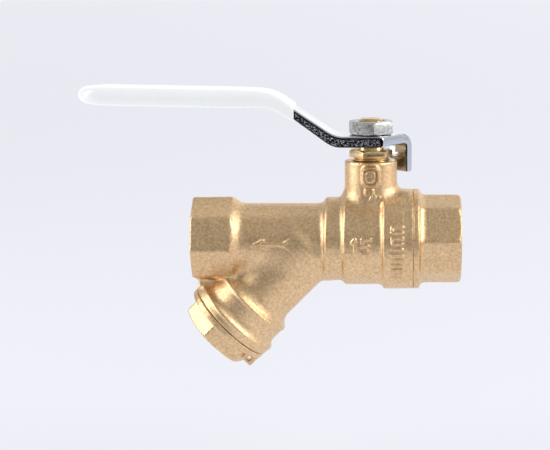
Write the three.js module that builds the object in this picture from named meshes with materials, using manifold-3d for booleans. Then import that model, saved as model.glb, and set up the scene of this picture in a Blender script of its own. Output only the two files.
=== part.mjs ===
// A half-inch brass ball valve with a built-in Y-strainer. Millimetres, +Z up.
// The pipe runs along X, the stem along Z, and the strainer branch leans down at 45 degrees to the outlet.
// The origin is the centre of the inlet end face. Inside the assembly group the stem axis is X = 0.
import * as THREE from "three";
import { mergeVertices } from "three/addons/utils/BufferGeometryUtils.js";
import Module from "manifold-3d";

const wasm = await Module();
wasm.setup();

// ---------- Driving dimensions ----------

const GAP = 0.3; // clearance between pieces that touch
const ROUND = 32; // sides of a large round
const SMALL_ROUND = 24; // sides of a small round
const OVER = 5; // how far a cutting solid runs past what it cuts
const degrees = THREE.MathUtils.degToRad;

const pipe = {
  inletFace: 28.5,
  outletFace: -57,
  socketRadius: 9.3, // the crest radius of a half-inch internal pipe thread
  socketDepth: 13,
  mouthRadius: 10.6, // the countersink of each threaded end
  boreRadius: 7.5,
  tubeRadius: 11.4,
};

const outletOctagon = { radius: 14.05, turn: degrees(8), shoulder: -44.4, root: -41.9, endChamfer: 0.7 };

// The three rings of the forging between the tube and the end adapter, from the outlet side on.
const rings = [
  { radius: 13.3, from: -14.1, to: -9 },
  { radius: 14.6, from: -8.2, to: 3.2 },
  { radius: 15.95, from: 4.5, to: 13.1 },
];
const firstRingSlope = 1.6;

const branch = {
  x: -18.4, // where its axis crosses the pipe axis
  lean: degrees(-135),
  tubeRadius: 11.35,
  collar: { radius: 13.8, from: 27.6, to: 33.4, slope: 2.6 },
  rim: { radius: 15.2, from: 35.4, to: 38.1 },
  chamberRadius: 9.2,
  chamberEnd: 29,
  threadRadius: 11.6,
  threadFrom: 30,
  gasketRadius: 13.3,
  gasketFrom: 36.6,
};

// The inclined wall that sends the flow through the screen. Distances run down the branch axis.
const wall = { from: 0.5, to: 2, mouthRadius: 6.8, socketRadius: 8.1, socketEnd: 4.5 };

const neck = {
  radius: 8.33,
  top: 25.3,
  flareRadius: 9.9,
  flareFrom: 13.6,
  flareTo: 16.8,
  shoulderBore: 5.6,
  ledge: 14.3,
  stemBore: 4.3,
  packingFloor: 16,
  packingBore: 6,
};

const closedStop = { halfWidth: 2.75, reach: 12.2, bottom: 18.3, top: 24.4 };
const openStop = { from: degrees(59), to: degrees(69.5), reach: 12.5, bottom: 19, top: 24.6 };

const ballChamber = { radius: 12, from: -10.9, to: 5.5 };
const adapter = {
  bodyBore: 13.3,
  skirtRadius: 13,
  skirtFrom: 5.8,
  seatPocketRadius: 11.9,
  seatPocketEnd: 10.9,
  socketFrom: 15.5,
  groove: { floor: 11.3, from: 11.2, to: 12.9 },
  flange: { radius: 15.9, from: 13.4, to: 15.1, root: 14.6, rootTo: 16.3 },
  octagonRadius: 14.74,
  turnedRadius: 14.1,
  turn: degrees(-3.2),
  endChamfer: 0.9,
};
const oRing = { radius: 12.25, wire: 0.6, x: 12.05 };

const ball = { radius: 11.2, bore: 7, slotHalfWidth: 2.1, slotFloor: 8.2 };
const seat = { inner: 7.5, outer: 11.6, from: 7.9, to: 10.6 };

const stem = {
  radius: 4,
  shoulderRadius: 5.2,
  shoulderFrom: 11.5,
  shoulderTo: 13.2,
  tangHalfWidth: 1.8,
  tangHalfLength: 4.2,
  tangFrom: 8.5,
  flatHalfWidth: 2.9,
  flatFrom: 31.3,
  top: 38.7,
  chamfer: 0.8,
};
const thrustWasher = { inner: 4.3, outer: 5.3, from: 13.5, to: 14 };
const packing = { inner: 4.3, outer: 5.7, from: 16.3, thick: 2.1 };
const gland = { bore: 4.3, shank: 5.7, shankFrom: 21.1, hexRadius: 6.93, hexFrom: 26.5, hexTo: 28.8, turn: degrees(-20) };
const nut = { bore: 4.3, hexRadius: 7.5, from: 33.9, to: 37.9, turn: degrees(8), chamfer: 0.7 };

// The lever's centre line in the XZ plane, from its head to its tip.
const lever = {
  path: [
    [12.5, 32],
    [-11.4, 32],
    [-31.6, 45.5],
    [-92.6, 47],
  ],
  bendRadius: 7,
  halfDepth: 1.6, // from the centre line up to the top face
  rim: 2, // and down to the ends of the turned-down edges
  sheet: 2,
  edge: 1.5, // thickness of the turned-down edges
  halfWidth: 7.25,
  headCorner: [3.7, -7.25], // where the head's slanting front edge begins
  headEdge: degrees(51.3), // its direction
};
// The stop tab hangs from the head's slanting end. Its face is measured along a normal from the stem axis.
const tab = { normal: degrees(46), reach: 12.7, sheet: 2.55, from: -6.05, to: 2, bottom: 21, bendRadius: 4.6 };
const sleeve = { mouth: -24, tip: -93.4, halfDepth: 2.85, halfWidth: 8.05 };

const screen = { radius: 7.8, thick: 0.5, from: 3.2, to: 37.2 };
const endRing = { inner: 6.9, outer: 7.8, from: 2.3, to: 2.9 };
const cap = {
  threadRadius: 11.3,
  from: 30.6,
  recessRadius: 8.1,
  recessEnd: 37.5,
  flange: { radius: 15.1, from: 38.4, to: 40.4 },
  hexRadius: 13.1,
  hexFrom: 40.8,
  end: 46,
  endChamfer: 1,
  turn: degrees(16),
};
// The ear at the hexagon's foot, drilled for a sealing wire. X here points away from the ear.
const ear = { xFrom: -14.6, xTo: -10, yFrom: -3.6, yTo: -0.6, to: 44.2, hole: { radius: 0.7, x: -12.6, at: 42.5 } };
// The web that fills the notch between the outlet octagon's underside and the branch rim.
const web = { from: -55.4, to: -50.5, halfWidth: 5, bottom: -15.8 };
const gasket = { inner: 11.9, outer: 13, from: 36.9, to: 38.1 };

// ---------- Materials ----------

const material = (color, roughness, metalness) =>
  new THREE.MeshStandardMaterial({ color, roughness, metalness });
const forgedBrass = material(0xb58a4e, 0.55, 1);
const machinedBrass = material(0xc9a25a, 0.3, 1);
const chrome = material(0xc9ccd0, 0.12, 1);
const zincSteel = material(0xb4b6b8, 0.35, 1);
const whiteVinyl = material(0xe9e9ee, 0.35, 0);
const ptfe = material(0xeeeeea, 0.6, 0);
const rubber = material(0x1d1d1f, 0.8, 0);
const stainless = material(0xa9abad, 0.35, 1);
const fibre = material(0x5b6b62, 0.85, 0);

// ---------- Frames: each takes +Z to the axis that a piece is turned on ----------

const stemFrame = new THREE.Matrix4();
const pipeFrame = new THREE.Matrix4().makeRotationY(Math.PI / 2);
const branchFrame = new THREE.Matrix4()
  .makeTranslation(branch.x, 0, 0)
  .multiply(new THREE.Matrix4().makeRotationY(branch.lean));

// ---------- Solids ----------

// A closed geometry as a manifold solid, with its faces turned outwards.
function solid(geometry, frame = stemFrame) {
  const bare = geometry.clone().applyMatrix4(frame);
  for (const name of Object.keys(bare.attributes)) if (name !== "position") bare.deleteAttribute(name);
  const merged = mergeVertices(bare, 1e-4);
  const vertProperties = new Float32Array(merged.attributes.position.array);
  const triVerts = new Uint32Array(merged.index.array);
  const made = new wasm.Manifold(new wasm.Mesh({ numProp: 3, vertProperties, triVerts }));
  if (made.volume() > 0) return made;
  return new wasm.Manifold(new wasm.Mesh({ numProp: 3, vertProperties, triVerts: triVerts.reverse() }));
}

// A turned solid. The profile is [radius, place along the axis] and starts and ends on the axis.
function turned(profile, frame, sides = ROUND) {
  const points = profile.map(([radius, place]) => new THREE.Vector2(radius, place));
  return solid(new THREE.LatheGeometry(points, sides).rotateX(Math.PI / 2), frame);
}

const rod = (radius, from, to, frame, sides = ROUND) =>
  turned([[0, from], [radius, from], [radius, to], [0, to]], frame, sides);

const cone = (radiusFrom, radiusTo, from, to, frame, sides = ROUND) =>
  turned([[0, from], [radiusFrom, from], [radiusTo, to], [0, to]], frame, sides);

const ring = (inner, outer, from, to, frame, sides = ROUND) =>
  turned([[inner, from], [outer, from], [outer, to], [inner, to], [inner, from]], frame, sides);

// A regular prism with its first corner towards -Y, turned about its own axis.
function prism(sides, radius, from, to, turn, frame) {
  const shape = new THREE.CylinderGeometry(radius, radius, to - from, sides)
    .rotateX(Math.PI / 2)
    .rotateZ(turn)
    .translate(0, 0, (from + to) / 2);
  return solid(shape, frame);
}

function block(xFrom, xTo, yFrom, yTo, zFrom, zTo, frame) {
  const shape = new THREE.BoxGeometry(xTo - xFrom, yTo - yFrom, zTo - zFrom).translate(
    (xFrom + xTo) / 2,
    (yFrom + yTo) / 2,
    (zFrom + zTo) / 2,
  );
  return solid(shape, frame);
}

const join = (solids) => solids.reduce((all, one) => all.add(one));
const cut = (whole, solids) => solids.reduce((left, one) => left.subtract(one), whole);

function mesh(name, shape, finish) {
  const { numProp, vertProperties, triVerts } = shape.getMesh();
  const geometry = new THREE.BufferGeometry()
    .setAttribute("position", new THREE.Float32BufferAttribute(vertProperties, numProp))
    .setIndex(new THREE.Uint32BufferAttribute(triVerts, 1));
  geometry.computeVertexNormals();
  const made = new THREE.Mesh(geometry, finish);
  made.name = name;
  return made;
}

// A pipe end's threaded socket with its countersunk mouth, opening towards `face`.
function socket(face, bottom) {
  const inwards = Math.sign(bottom - face);
  const sink = (pipe.mouthRadius - pipe.socketRadius) * inwards;
  return join([
    rod(pipe.socketRadius, Math.min(face, bottom), Math.max(face, bottom), pipeFrame),
    inwards > 0
      ? cone(pipe.mouthRadius, pipe.socketRadius, face, face + sink, pipeFrame)
      : cone(pipe.socketRadius, pipe.mouthRadius, face + sink, face, pipeFrame),
    rod(pipe.mouthRadius, face - Math.max(0, inwards) * OVER, face + Math.max(0, -inwards) * OVER, pipeFrame),
  ]);
}

// ---------- The valve body ----------

// The forging round the pipe axis: outlet octagon, tube and the three rings.
function runForging() {
  const { radius, turn, shoulder, root, endChamfer } = outletOctagon;
  const face = pipe.outletFace;
  const octagon = prism(8, radius, face, shoulder + 1, turn, pipeFrame);
  const turnedEnd = turned(
    [[0, face], [radius - endChamfer, face], [radius + 0.1, face + endChamfer + 0.1], [radius + 0.1, shoulder],
      [pipe.tubeRadius, root], [0, root]],
    pipeFrame,
  );
  const [first, second, third] = rings;
  const profile = [
    [0, root - 2],
    [pipe.tubeRadius, root - 2],
    [pipe.tubeRadius, first.from - firstRingSlope],
    [first.radius, first.from],
    [first.radius, first.to],
    [second.radius, second.from],
    [second.radius, second.to],
    [third.radius, third.from],
    [third.radius, third.to],
    [0, third.to],
  ];
  const shoulderCone = cone(radius - 1.1, pipe.tubeRadius, shoulder + 0.9, root, pipeFrame);
  const notchWeb = block(web.from, web.to, -web.halfWidth, web.halfWidth, web.bottom, -pipe.tubeRadius);
  return join([octagon.intersect(turnedEnd), shoulderCone, turned(profile, pipeFrame), notchWeb]);
}

function branchForging() {
  const { tubeRadius, collar, rim } = branch;
  const profile = [
    [0, 0],
    [tubeRadius, 0],
    [tubeRadius, collar.from - collar.slope],
    [collar.radius, collar.from],
    [collar.radius, collar.to],
    [rim.radius, rim.from],
    [rim.radius, rim.to],
    [0, rim.to],
  ];
  return turned(profile, branchFrame);
}

function neckForging() {
  const profile = [
    [0, 0],
    [neck.flareRadius, 0],
    [neck.flareRadius, neck.flareFrom],
    [neck.radius, neck.flareTo],
    [neck.radius, neck.top],
    [0, neck.top],
  ];
  return turned(profile, stemFrame);
}

// The two stops that the lever's tab meets: one in front when shut, one behind when open.
function leverStops() {
  const front = block(-closedStop.halfWidth, closedStop.halfWidth, -closedStop.reach, -neck.radius + 1.5,
    closedStop.bottom, closedStop.top);
  const sector = new THREE.Shape();
  sector.absarc(0, 0, openStop.reach, openStop.from, openStop.to);
  sector.absarc(0, 0, neck.radius - 1.5, openStop.to, openStop.from, true);
  const lug = new THREE.ExtrudeGeometry(sector, {
    depth: openStop.top - openStop.bottom,
    bevelEnabled: false,
    curveSegments: 4,
  }).translate(0, 0, openStop.bottom);
  return join([front, solid(lug)]);
}

// The half space beyond a plane across the branch axis, as a large block.
function beyond(from, to) {
  const reach = 60;
  return block(-reach, reach, -reach, reach, from, to, branchFrame);
}

function bodyHollows() {
  const far = 90;
  const outletBore = rod(pipe.boreRadius, pipe.outletFace + 1, -5, pipeFrame);
  const inletBore = rod(pipe.boreRadius, branch.x - 15, 0, pipeFrame);
  return [
    socket(pipe.outletFace, pipe.outletFace + pipe.socketDepth),
    outletBore.intersect(beyond(wall.to, far)),
    inletBore.intersect(beyond(-far, wall.from)),
    rod(wall.mouthRadius, wall.from - 2, wall.to + 1, branchFrame),
    rod(wall.socketRadius, wall.to, wall.socketEnd + 1, branchFrame),
    rod(branch.chamberRadius, wall.socketEnd, branch.threadFrom + 1, branchFrame),
    cone(branch.chamberRadius, branch.threadRadius, branch.chamberEnd - 1.4, branch.threadFrom, branchFrame),
    rod(branch.threadRadius, branch.threadFrom, branch.gasketFrom + 1, branchFrame),
    rod(branch.gasketRadius, branch.gasketFrom, branch.rim.to + OVER, branchFrame),
    rod(ballChamber.radius, ballChamber.from, ballChamber.to + 1, pipeFrame),
    rod(adapter.bodyBore, ballChamber.to, rings[2].to + OVER, pipeFrame),
    rod(neck.shoulderBore, 0, neck.ledge, stemFrame, SMALL_ROUND),
    rod(neck.stemBore, neck.ledge - 1, neck.packingFloor + 1, stemFrame, SMALL_ROUND),
    rod(neck.packingBore, neck.packingFloor, neck.top + OVER, stemFrame, SMALL_ROUND),
  ];
}

function valveBody() {
  const forging = join([runForging(), branchForging(), neckForging(), leverStops()]);
  return mesh("valve_body", cut(forging, bodyHollows()), forgedBrass);
}

// ---------- The inlet end ----------

function endAdapter() {
  const { flange, turnedRadius, endChamfer, groove } = adapter;
  const face = pipe.inletFace;
  const blank = turned(
    [[0, adapter.skirtFrom], [adapter.skirtRadius, adapter.skirtFrom], [adapter.skirtRadius, flange.from],
      [flange.radius, flange.from], [flange.radius, flange.to], [flange.root, flange.rootTo], [0, flange.rootTo]],
    pipeFrame,
  );
  const octagonBlank = turned(
    [[0, flange.from], [turnedRadius, flange.from], [turnedRadius, face - endChamfer],
      [turnedRadius - endChamfer, face], [0, face]],
    pipeFrame,
  );
  const octagon = prism(8, adapter.octagonRadius, flange.from, face, adapter.turn, pipeFrame);
  const hollows = [
    rod(adapter.seatPocketRadius, adapter.skirtFrom - OVER, adapter.seatPocketEnd, pipeFrame),
    rod(pipe.boreRadius, adapter.seatPocketEnd - 1, adapter.socketFrom + 1, pipeFrame),
    socket(face, adapter.socketFrom),
    ring(groove.floor, adapter.skirtRadius + 1, groove.from, groove.to, pipeFrame),
  ];
  return mesh("end_adapter", cut(blank.add(octagon.intersect(octagonBlank)), hollows), forgedBrass);
}

function adapterORing() {
  const shape = new THREE.TorusGeometry(oRing.radius, oRing.wire, 8, ROUND).translate(0, 0, oRing.x);
  return mesh("adapter_o_ring", solid(shape, pipeFrame), rubber);
}

// ---------- The ball and its seats ----------

function ballPiece() {
  const sphere = solid(new THREE.SphereGeometry(ball.radius, ROUND, ROUND / 2));
  const slot = block(-ball.slotHalfWidth, ball.slotHalfWidth, -ball.radius, ball.radius, ball.slotFloor,
    ball.radius + OVER);
  return mesh("ball", cut(sphere, [rod(ball.bore, -2 * ball.radius, 2 * ball.radius, pipeFrame), slot]), chrome);
}

// A seat ring with the ball's clearance cut from it. side is 1 at the inlet and -1 at the outlet.
function seatPiece(name, side) {
  const [from, to] = [side * seat.from, side * seat.to].sort((a, b) => a - b);
  const clearance = solid(new THREE.SphereGeometry(ball.radius + GAP, ROUND, ROUND / 2));
  return mesh(name, cut(ring(seat.inner, seat.outer, from, to, pipeFrame), [clearance]), ptfe);
}

// ---------- The stem and its seals ----------

function stemPiece() {
  const profile = [
    [0, stem.shoulderFrom],
    [stem.shoulderRadius, stem.shoulderFrom],
    [stem.shoulderRadius, stem.shoulderTo],
    [stem.radius, stem.shoulderTo],
    [stem.radius, stem.top - stem.chamfer],
    [stem.radius - stem.chamfer, stem.top],
    [0, stem.top],
  ];
  const tang = block(-stem.tangHalfWidth, stem.tangHalfWidth, -stem.tangHalfLength, stem.tangHalfLength,
    stem.tangFrom, stem.shoulderFrom + 1);
  const flats = [-1, 1].map((side) => {
    const [from, to] = [side * stem.flatHalfWidth, side * 2 * stem.radius].sort((a, b) => a - b);
    return block(-OVER, OVER, from, to, stem.flatFrom, stem.top + OVER);
  });
  return mesh("stem", cut(turned(profile, stemFrame, SMALL_ROUND).add(tang), flats), machinedBrass);
}

const stemRing = (name, { inner, outer }, from, to) =>
  mesh(name, ring(inner, outer, from, to, stemFrame, SMALL_ROUND), ptfe);

function stemSeals() {
  const upper = packing.from + packing.thick + GAP;
  return [
    stemRing("stem_thrust_washer", thrustWasher, thrustWasher.from, thrustWasher.to),
    stemRing("packing_ring_lower", packing, packing.from, packing.from + packing.thick),
    stemRing("packing_ring_upper", packing, upper, upper + packing.thick),
  ];
}

// A hexagon whose corners are turned off at its top, and at its foot too where chamferFoot is set.
function chamferedHexagon(radius, from, to, turn, chamfer, frame, chamferFoot = false) {
  const foot = chamferFoot ? chamfer : 0;
  const blank = turned(
    [[0, from], [radius - foot, from], [radius + 0.05, from + foot / 2], [radius + 0.05, to - chamfer / 2],
      [radius - chamfer, to], [0, to]],
    frame,
    SMALL_ROUND,
  );
  return prism(6, radius, from, to, turn, frame).intersect(blank);
}

function glandNut() {
  const hexagon = chamferedHexagon(gland.hexRadius, gland.hexFrom, gland.hexTo, gland.turn, 0.7, stemFrame);
  const shank = rod(gland.shank, gland.shankFrom, gland.hexFrom + 1, stemFrame, SMALL_ROUND);
  const bore = rod(gland.bore, gland.shankFrom - OVER, gland.hexTo + OVER, stemFrame, SMALL_ROUND);
  return mesh("gland_nut", cut(hexagon.add(shank), [bore]), machinedBrass);
}

function leverNut() {
  const hexagon = chamferedHexagon(nut.hexRadius, nut.from, nut.to, nut.turn, nut.chamfer, stemFrame, true);
  const bore = rod(nut.bore, nut.from - OVER, nut.to + OVER, stemFrame, SMALL_ROUND);
  return mesh("lever_nut", cut(hexagon, [bore]), zincSteel);
}

// ---------- The lever ----------

// The lever's centre line with its bends rounded, as points with the strip's normal at each.
function centreLine(tip) {
  const corners = lever.path.map(([x, z]) => new THREE.Vector2(x, z));
  corners[corners.length - 1].x = tip;
  const steps = 5;
  const along = (from, to) => to.clone().sub(from).normalize();
  const normal = (direction) => new THREE.Vector2(direction.y, -direction.x);
  const line = [{ at: corners[0], normal: normal(along(corners[0], corners[1])) }];
  for (let i = 1; i < corners.length - 1; i++) {
    const before = along(corners[i - 1], corners[i]);
    const after = along(corners[i], corners[i + 1]);
    const turn = Math.atan2(before.cross(after), before.dot(after));
    const back = lever.bendRadius * Math.tan(Math.abs(turn) / 2);
    const start = corners[i].clone().addScaledVector(before, -back);
    const side = Math.sign(turn);
    const centre = start.clone().addScaledVector(normal(before), -side * lever.bendRadius);
    for (let step = 0; step <= steps; step++) {
      const turnedNormal = normal(before).rotateAround(new THREE.Vector2(), (turn * step) / steps);
      line.push({
        at: centre.clone().addScaledVector(turnedNormal, side * lever.bendRadius),
        normal: turnedNormal,
      });
    }
  }
  const end = corners.length - 1;
  line.push({ at: corners[end], normal: normal(along(corners[end - 1], corners[end])) });
  return line;
}

// A strip along the lever's centre line, between two offsets from it and as wide as given.
function strip(low, high, halfWidth, tip = lever.path.at(-1)[0]) {
  const line = centreLine(tip);
  const side = (offset) => line.map(({ at, normal }) => at.clone().addScaledVector(normal, offset));
  const outline = new THREE.Shape([...side(low), ...side(high).reverse()]);
  const shape = new THREE.ExtrudeGeometry(outline, { depth: 2 * halfWidth, bevelEnabled: false })
    .rotateX(Math.PI / 2)
    .translate(0, halfWidth, 0);
  return solid(shape);
}

// The lever or its sleeve seen from above, as a tall solid: straight sides and a round tip.
function planOutline(halfWidth, tip, end) {
  const plan = new THREE.Shape();
  plan.moveTo(end, -halfWidth);
  plan.lineTo(end, halfWidth);
  plan.absarc(tip + halfWidth, 0, halfWidth, Math.PI / 2, (3 * Math.PI) / 2);
  return solid(new THREE.ExtrudeGeometry(plan, { depth: 80, bevelEnabled: false, curveSegments: 10 }));
}

// The head's outline: the front side slants back to where the stop tab bends down.
function headPlan() {
  const normal = new THREE.Vector2(Math.cos(tab.normal), Math.sin(tab.normal));
  const bendLine = tab.reach - tab.bendRadius;
  const corner = new THREE.Vector2(...lever.headCorner);
  const slant = new THREE.Vector2(Math.cos(lever.headEdge), Math.sin(lever.headEdge));
  const length = (bendLine - corner.dot(normal)) / slant.dot(normal);
  const rearX = (bendLine - lever.halfWidth * normal.y) / normal.x;
  const tip = lever.path.at(-1)[0];
  const plan = new THREE.Shape();
  plan.moveTo(corner.x, corner.y);
  plan.lineTo(corner.x + slant.x * length, corner.y + slant.y * length);
  plan.lineTo(rearX, lever.halfWidth);
  plan.lineTo(tip + lever.halfWidth, lever.halfWidth);
  plan.absarc(tip + lever.halfWidth, 0, lever.halfWidth, Math.PI / 2, (3 * Math.PI) / 2);
  return solid(new THREE.ExtrudeGeometry(plan, { depth: 80, bevelEnabled: false, curveSegments: 10 }));
}

// The stop tab: the head's sheet carried on, bent down through a quarter circle.
function stopTab() {
  const top = lever.path[0][1] + lever.halfDepth;
  const { reach, bendRadius, bottom } = tab;
  const section = new THREE.Shape();
  section.moveTo(reach - bendRadius - 3, top);
  section.lineTo(reach - bendRadius, top);
  section.absarc(reach - bendRadius, top - bendRadius, bendRadius, Math.PI / 2, 0, true);
  section.lineTo(reach, bottom);
  section.lineTo(reach - tab.sheet, bottom);
  section.absarc(reach - bendRadius, top - bendRadius, bendRadius - tab.sheet, 0, Math.PI / 2);
  section.lineTo(reach - bendRadius - 3, top - tab.sheet);
  const shape = new THREE.ExtrudeGeometry(section, { depth: tab.to - tab.from, bevelEnabled: false, curveSegments: 6 })
    .rotateX(Math.PI / 2)
    .translate(0, tab.to, 0)
    .rotateZ(tab.normal);
  return solid(shape);
}

function leverPiece() {
  const { halfDepth, rim, halfWidth, edge, sheet } = lever;
  const channel = strip(-rim - OVER, halfDepth - sheet, halfWidth - edge);
  const pressed = cut(strip(-rim, halfDepth, halfWidth), [channel]).intersect(headPlan());
  const hole = rod(stem.radius + GAP, 28, 36, stemFrame, SMALL_ROUND).intersect(
    block(-OVER, OVER, -stem.flatHalfWidth - GAP, stem.flatHalfWidth + GAP, 28, 36),
  );
  return mesh("lever", cut(pressed.add(stopTab()), [hole]), chrome);
}

function leverSleeve() {
  const outside = strip(-sleeve.halfDepth, sleeve.halfDepth, sleeve.halfWidth, sleeve.tip).intersect(
    planOutline(sleeve.halfWidth, sleeve.tip, sleeve.mouth),
  );
  const pocketTip = lever.path.at(-1)[0] - GAP;
  const pocket = strip(-lever.rim - GAP, lever.halfDepth + GAP, lever.halfWidth + GAP, pocketTip).intersect(
    planOutline(lever.halfWidth + GAP, pocketTip, sleeve.mouth + OVER),
  );
  return mesh("lever_sleeve", cut(outside, [pocket]), whiteVinyl);
}

// ---------- The strainer ----------

function strainerScreen() {
  const inner = screen.radius - screen.thick;
  return mesh("strainer_screen", ring(inner, screen.radius, screen.from, screen.to, branchFrame), stainless);
}

function screenEndRing() {
  const { inner, outer, from, to } = endRing;
  return mesh("screen_end_ring", ring(inner, outer, from, to, branchFrame), stainless);
}

function strainerCap() {
  const { flange, end, endChamfer, hexRadius } = cap;
  const blank = turned(
    [[0, cap.from], [cap.threadRadius, cap.from], [cap.threadRadius, flange.from], [flange.radius, flange.from],
      [flange.radius, flange.to], [hexRadius - 0.8, cap.hexFrom], [0, cap.hexFrom]],
    branchFrame,
  );
  const hexagon = prism(6, hexRadius, flange.from, end, cap.turn, branchFrame).intersect(
    turned(
      [[0, flange.from], [hexRadius + 0.05, flange.from], [hexRadius + 0.05, end - endChamfer / 2],
        [hexRadius - endChamfer, end], [0, end]],
      branchFrame,
    ),
  );
  const drilledEar = block(ear.xFrom, ear.xTo, ear.yFrom, ear.yTo, flange.to - 1, ear.to, branchFrame);
  const acrossEar = new THREE.CylinderGeometry(ear.hole.radius, ear.hole.radius, 2 * OVER, 12)
    .translate(ear.hole.x, 0, ear.hole.at);
  const recess = rod(cap.recessRadius, cap.from - OVER, cap.recessEnd, branchFrame);
  const body = join([blank, hexagon, drilledEar]);
  return mesh("strainer_cap", cut(body, [solid(acrossEar, branchFrame), recess]), forgedBrass);
}

function capGasket() {
  const { inner, outer, from, to } = gasket;
  return mesh("cap_gasket", ring(inner, outer, from, to, branchFrame), fibre);
}

// ---------- Assembly ----------

const assembly = new THREE.Group();
assembly.position.x = -pipe.inletFace;
assembly.add(
  valveBody(),
  endAdapter(),
  adapterORing(),
  ballPiece(),
  seatPiece("seat_inlet", 1),
  seatPiece("seat_outlet", -1),
  stemPiece(),
  ...stemSeals(),
  glandNut(),
  leverPiece(),
  leverSleeve(),
  leverNut(),
  strainerScreen(),
  screenEndRing(),
  strainerCap(),
  capGasket(),
);

const filterBallValve = new THREE.Group();
filterBallValve.add(assembly);

export default filterBallValve;
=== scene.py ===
# Looks of a half-inch brass Y-strainer with a ball valve. Lengths are millimetres until a mesh is made.
import math

import bmesh
import bpy
import numpy as np
import openvdb
from mathutils import Matrix, Vector


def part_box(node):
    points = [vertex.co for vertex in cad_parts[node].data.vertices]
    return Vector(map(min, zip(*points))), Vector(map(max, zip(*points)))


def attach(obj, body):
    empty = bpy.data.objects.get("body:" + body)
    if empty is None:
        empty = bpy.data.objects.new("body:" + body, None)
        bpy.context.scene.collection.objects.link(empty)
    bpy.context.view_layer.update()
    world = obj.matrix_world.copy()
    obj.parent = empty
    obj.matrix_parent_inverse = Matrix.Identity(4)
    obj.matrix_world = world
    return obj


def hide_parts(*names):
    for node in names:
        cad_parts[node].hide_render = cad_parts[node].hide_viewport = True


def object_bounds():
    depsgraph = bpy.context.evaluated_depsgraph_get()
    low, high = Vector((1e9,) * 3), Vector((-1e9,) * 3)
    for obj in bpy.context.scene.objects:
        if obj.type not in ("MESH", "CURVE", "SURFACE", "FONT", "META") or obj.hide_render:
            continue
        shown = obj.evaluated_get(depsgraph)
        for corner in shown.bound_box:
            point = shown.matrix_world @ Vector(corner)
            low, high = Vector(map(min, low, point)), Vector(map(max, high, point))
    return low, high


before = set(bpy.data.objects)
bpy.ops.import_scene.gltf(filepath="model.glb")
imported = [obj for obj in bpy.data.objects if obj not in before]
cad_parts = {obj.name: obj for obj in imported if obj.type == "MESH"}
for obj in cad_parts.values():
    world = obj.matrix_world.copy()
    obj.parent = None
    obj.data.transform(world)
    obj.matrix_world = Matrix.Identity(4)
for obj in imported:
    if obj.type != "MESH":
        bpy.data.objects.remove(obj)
cad_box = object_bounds()

# ---------- Sizes ----------

MM = 0.001


def node_box(node):
    """Lowest and highest corner of a CAD node in millimetres, in the row frame."""
    low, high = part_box(node)
    return Vector(low) / MM, Vector(high) / MM


STEM_X = (node_box("stem")[0].x + node_box("stem")[1].x) / 2
OUTLET_FACE = node_box("valve_body")[0].x - STEM_X
INLET_FACE = node_box("end_adapter")[1].x - STEM_X
STEM_TOP = node_box("stem")[1].z
GLAND_TOP = node_box("gland_nut")[1].z
NUT_FOOT, NUT_TOP = (corner.z for corner in node_box("lever_nut"))
LEVER_TIP = node_box("lever")[0].x - STEM_X
SLEEVE_TIP = node_box("lever_sleeve")[0].x - STEM_X

DIAGONAL = math.sqrt(0.5)
BRANCH_X = -18.4
TUBE = 11.4
NECK = 8.33
NECK_TOP = 25.3
THIRD_RING = (15.95, 4.5, 13.4)  # radius, from, to
CAP_THREAD_PITCH = 1.5
PIPE_THREAD = (9.3, 10.4, 1.814)  # crest radius, root radius and pitch of the sockets
OUTLET_APOTHEM = 12.98
INLET_APOTHEM = 13.15
OCTAGON_TURNED = 14.0  # radius to which the outlet octagon's corners are turned
ADAPTER_TURNED = 14.1
STOP_MIDDLE = 21.35  # height of the front stop's emblem pad
REAR_STOP_TURN = math.radians(64.25)
BODY_VOXEL = 0.32
FINE_VOXEL = 0.26
LEVER_VOXEL = 0.24
SLEEVE_VOXEL = 0.3

HALF_TURN = math.pi
PIPE = Matrix.Rotation(HALF_TURN / 2, 4, "Y")
STEM = Matrix.Identity(4)
BRANCH = Matrix.Translation((BRANCH_X, 0, 0)) @ Matrix.Rotation(math.radians(-135), 4, "Y")


# ---------- Fields: signed distances on a grid, which draw the forged and pressed skins ----------


class Grid:
    """Sample points over a box, with the distances along and across each of the object's axes."""

    def __init__(self, low, high, voxel):
        self.low, self.voxel = np.array(low, float), voxel
        spans = [np.arange(a, b + voxel, voxel, dtype=np.float32) for a, b in zip(low, high)]
        self.x, self.y, self.z = np.meshgrid(*spans, indexing="ij", sparse=True)
        self.shape = tuple(len(span) for span in spans)

    def pipe(self):
        return self.x, np.hypot(self.y, self.z)

    def stem(self):
        return self.z, np.hypot(self.x, self.y)

    def branch(self):
        across = self.x - BRANCH_X
        return (-across - self.z) * DIAGONAL, np.hypot((across - self.z) * DIAGONAL, self.y)


def joined(a, b, blend):
    near = np.maximum(blend - np.abs(a - b), 0) / blend
    return np.minimum(a, b) - near * near * blend / 4


def common(a, b, blend=0.3):
    return -joined(-a, -b, blend)


def disc(place, radius, size, low, high, edge=0.3):
    """A cylinder with rounded rims."""
    a = radius - size + edge
    b = np.abs(place - (low + high) / 2) - (high - low) / 2 + edge
    return np.minimum(np.maximum(a, b), 0) + np.hypot(np.maximum(a, 0), np.maximum(b, 0)) - edge


def polygon(u, v, sides, apothem, turn, blend):
    """A regular prism's side faces. The first corner lies towards -v, turned by `turn`."""
    field = None
    for k in range(sides):
        angle = turn + (k + 0.5) * 2 * HALF_TURN / sides
        face = u * math.sin(angle) - v * math.cos(angle) - apothem
        field = face if field is None else common(field, face, blend)
    return field


def slope(place, radius, start, end):
    """A cone that widens from one [place, radius] to the next and ends there."""
    run, rise = end[0] - start[0], end[1] - start[1]
    side = ((radius - start[1]) * run - (place - start[0]) * rise) / math.hypot(run, rise)
    return np.maximum(side, place - end[0] - 0.5)


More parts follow.
